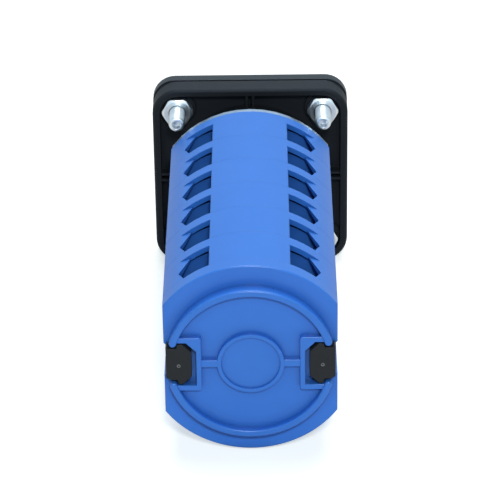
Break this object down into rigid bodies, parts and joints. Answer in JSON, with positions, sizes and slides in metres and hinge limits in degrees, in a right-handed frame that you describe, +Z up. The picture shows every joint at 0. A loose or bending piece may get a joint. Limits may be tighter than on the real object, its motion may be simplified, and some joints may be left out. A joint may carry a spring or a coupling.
{
  "type": "cam switch",
  "caption": "Panel-mounted rotary cam switch: square front plate and knob, indexing housing, stacked blue contact chambers with wiring windows, rear cover and tie straps.",
  "frame": {"origin": "centre of the panel clamping plane, the front face of the mounting plate, on the shaft's axis", "axes": "+Y along the shaft away from the knob towards the rear cover, +Z up in the panel, +X to the right seen from the knob"},
  "size_m": [0.0484, 0.1193, 0.0484],
  "materials": {
    "blue_plastic": "satin, moulded polyamide",
    "black_plastic": "satin, moulded",
    "strap_plastic": "matt, moulded",
    "legend_aluminium": "anodised, fine brushed",
    "zinc": "bright zinc plate, bluish",
    "steel": "drawn",
    "spring_steel": "drawn wire",
    "cam_plastic": "natural polyamide",
    "plunger_plastic": "matt, moulded"
  },
  "bodies": {
    "base": {"front_frame": "black_plastic", "legend_plate": "legend_aluminium", "mounting_plate": "black_plastic", "plate_screw_1": "zinc", "plate_screw_2": "zinc", "plate_screw_3": "zinc", "plate_screw_4": "zinc", "plate_nut_1": "zinc", "plate_nut_2": "zinc", "plate_nut_3": "zinc", "plate_nut_4": "zinc", "indexing_housing": "black_plastic", "detent_roller_right": "steel", "detent_roller_left": "steel", "detent_spring_right": "spring_steel", "detent_spring_left": "spring_steel", "end_disc": "zinc", "chamber_1": "blue_plastic", "chamber_2": "blue_plastic", "chamber_3": "blue_plastic", "chamber_4": "blue_plastic", "chamber_5": "blue_plastic", "chamber_6": "blue_plastic", "rear_cover": "blue_plastic", "tie_strap_right": "strap_plastic", "tie_strap_left": "strap_plastic"},
    "rotor": {"knob": "black_plastic", "knob_screw": "zinc", "shaft": "steel", "detent_star": "black_plastic", "cam_1": "cam_plastic", "cam_2": "cam_plastic", "cam_3": "cam_plastic", "cam_4": "cam_plastic", "cam_5": "cam_plastic", "cam_6": "cam_plastic"},
    "follower_upper_1": {"plunger_upper_1": "plunger_plastic", "contact_spring_upper_1": "spring_steel"},
    "follower_upper_2": {"plunger_upper_2": "plunger_plastic", "contact_spring_upper_2": "spring_steel"},
    "follower_upper_3": {"plunger_upper_3": "plunger_plastic", "contact_spring_upper_3": "spring_steel"},
    "follower_upper_4": {"plunger_upper_4": "plunger_plastic", "contact_spring_upper_4": "spring_steel"},
    "follower_upper_5": {"plunger_upper_5": "plunger_plastic", "contact_spring_upper_5": "spring_steel"},
    "follower_upper_6": {"plunger_upper_6": "plunger_plastic", "contact_spring_upper_6": "spring_steel"},
    "follower_lower_1": {"plunger_lower_1": "plunger_plastic", "contact_spring_lower_1": "spring_steel"},
    "follower_lower_2": {"plunger_lower_2": "plunger_plastic", "contact_spring_lower_2": "spring_steel"},
    "follower_lower_3": {"plunger_lower_3": "plunger_plastic", "contact_spring_lower_3": "spring_steel"},
    "follower_lower_4": {"plunger_lower_4": "plunger_plastic", "contact_spring_lower_4": "spring_steel"},
    "follower_lower_5": {"plunger_lower_5": "plunger_plastic", "contact_spring_lower_5": "spring_steel"},
    "follower_lower_6": {"plunger_lower_6": "plunger_plastic", "contact_spring_lower_6": "spring_steel"}
  },
  "joints": [
    {"name": "knob_turn", "type": "hinge", "parent": "base", "child": "rotor", "pos_m": [0, 0, 0], "axis": [0, 1, 0], "range_deg": [-60, 60]},
    {"name": "follower_upper_1_slide", "type": "slide", "parent": "base", "child": "follower_upper_1", "axis": [0, 0, 1], "range_m": [-0.001, 0.001], "deforming": ["contact_spring_upper_1"]},
    {"name": "follower_upper_2_slide", "type": "slide", "parent": "base", "child": "follower_upper_2", "axis": [0, 0, 1], "range_m": [-0.001, 0.001], "deforming": ["contact_spring_upper_2"]},
    {"name": "follower_upper_3_slide", "type": "slide", "parent": "base", "child": "follower_upper_3", "axis": [0, 0, 1], "range_m": [-0.001, 0.001], "deforming": ["contact_spring_upper_3"]},
    {"name": "follower_upper_4_slide", "type": "slide", "parent": "base", "child": "follower_upper_4", "axis": [0, 0, 1], "range_m": [-0.001, 0.001], "deforming": ["contact_spring_upper_4"]},
    {"name": "follower_upper_5_slide", "type": "slide", "parent": "base", "child": "follower_upper_5", "axis": [0, 0, 1], "range_m": [-0.001, 0.001], "deforming": ["contact_spring_upper_5"]},
    {"name": "follower_upper_6_slide", "type": "slide", "parent": "base", "child": "follower_upper_6", "axis": [0, 0, 1], "range_m": [-0.001, 0.001], "deforming": ["contact_spring_upper_6"]},
    {"name": "follower_lower_1_slide", "type": "slide", "parent": "base", "child": "follower_lower_1", "axis": [0, 0, 1], "range_m": [-0.001, 0.001], "deforming": ["contact_spring_lower_1"]},
    {"name": "follower_lower_2_slide", "type": "slide", "parent": "base", "child": "follower_lower_2", "axis": [0, 0, 1], "range_m": [-0.001, 0.001], "deforming": ["contact_spring_lower_2"]},
    {"name": "follower_lower_3_slide", "type": "slide", "parent": "base", "child": "follower_lower_3", "axis": [0, 0, 1], "range_m": [-0.001, 0.001], "deforming": ["contact_spring_lower_3"]},
    {"name": "follower_lower_4_slide", "type": "slide", "parent": "base", "child": "follower_lower_4", "axis": [0, 0, 1], "range_m": [-0.001, 0.001], "deforming": ["contact_spring_lower_4"]},
    {"name": "follower_lower_5_slide", "type": "slide", "parent": "base", "child": "follower_lower_5", "axis": [0, 0, 1], "range_m": [-0.001, 0.001], "deforming": ["contact_spring_lower_5"]},
    {"name": "follower_lower_6_slide", "type": "slide", "parent": "base", "child": "follower_lower_6", "axis": [0, 0, 1], "range_m": [-0.001, 0.001], "deforming": ["contact_spring_lower_6"]}
  ],
  "couplings": [
    {"joint": "follower_upper_1_slide", "follows": "knob_turn", "m_per_rad": 0.00095493},
    {"joint": "follower_upper_2_slide", "follows": "knob_turn", "m_per_rad": 0.00095493},
    {"joint": "follower_upper_3_slide", "follows": "knob_turn", "m_per_rad": 0.00095493},
    {"joint": "follower_upper_4_slide", "follows": "knob_turn", "m_per_rad": 0.00095493},
    {"joint": "follower_upper_5_slide", "follows": "knob_turn", "m_per_rad": 0.00095493},
    {"joint": "follower_upper_6_slide", "follows": "knob_turn", "m_per_rad": 0.00095493},
    {"joint": "follower_lower_1_slide", "follows": "knob_turn", "m_per_rad": 0.00095493},
    {"joint": "follower_lower_2_slide", "follows": "knob_turn", "m_per_rad": 0.00095493},
    {"joint": "follower_lower_3_slide", "follows": "knob_turn", "m_per_rad": 0.00095493},
    {"joint": "follower_lower_4_slide", "follows": "knob_turn", "m_per_rad": 0.00095493},
    {"joint": "follower_lower_5_slide", "follows": "knob_turn", "m_per_rad": 0.00095493},
    {"joint": "follower_lower_6_slide", "follows": "knob_turn", "m_per_rad": 0.00095493}
  ]
}
